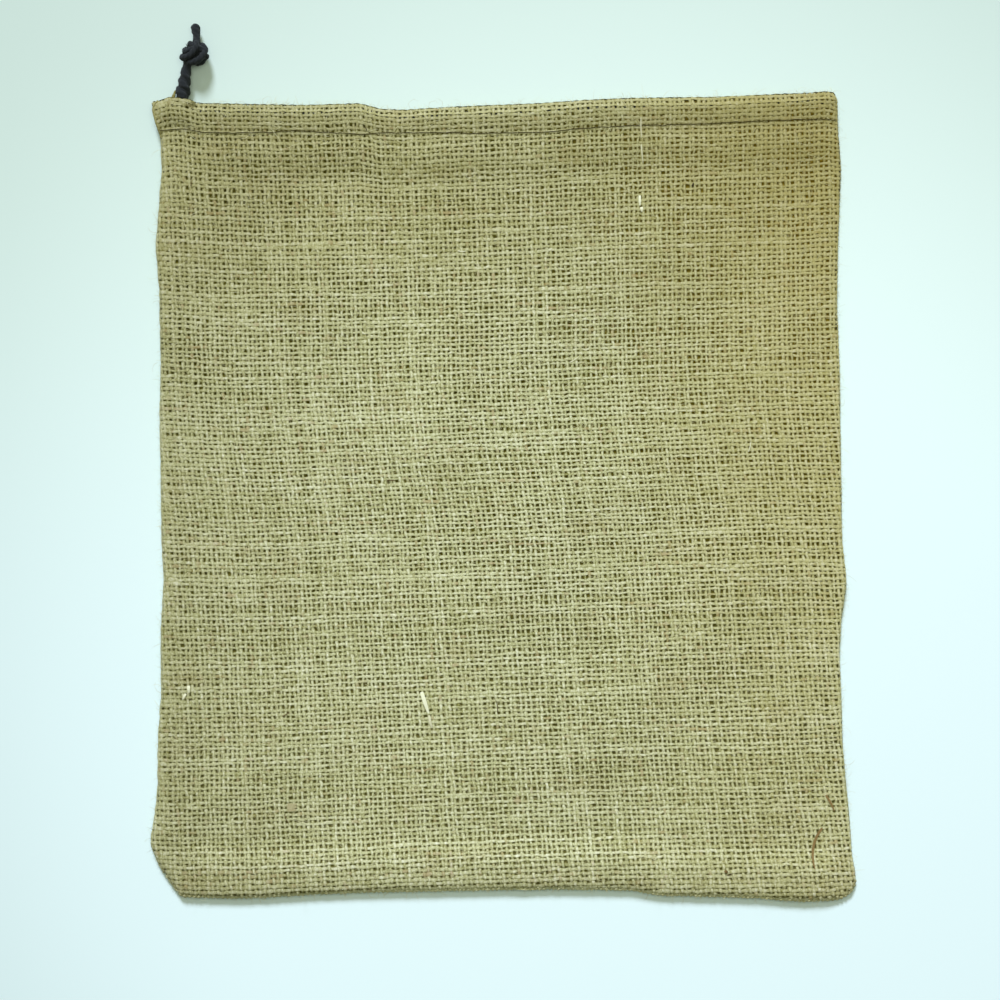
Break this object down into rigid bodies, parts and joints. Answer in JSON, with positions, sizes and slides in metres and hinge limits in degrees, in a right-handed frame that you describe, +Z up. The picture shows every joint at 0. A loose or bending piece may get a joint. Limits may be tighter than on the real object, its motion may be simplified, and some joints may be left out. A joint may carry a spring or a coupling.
{
  "type": "drawstring jute sack",
  "caption": "Empty rectangular sack of plain-weave jute hessian lying flat, hemmed at the mouth round a black drawcord that is twisted and knotted at one corner.",
  "frame": {"origin": "middle of the flat underside of the cloth", "axes": "+X across the sack from the seamed side to the folded side, +Y from the bottom seam to the mouth, +Z up from the surface that it lies on"},
  "size_m": [0.3145, 0.3917, 0.0096],
  "materials": {
    "jute": "coarse open plain weave of dry, hairy jute yarn, matte",
    "cord": "near-black laid cord, matte"
  },
  "bodies": {
    "root": {"sack_cloth": "jute", "drawcord": "cord", "drawcord_knot": "cord", "drawcord_end": "cord"}
  },
  "joints": []
}
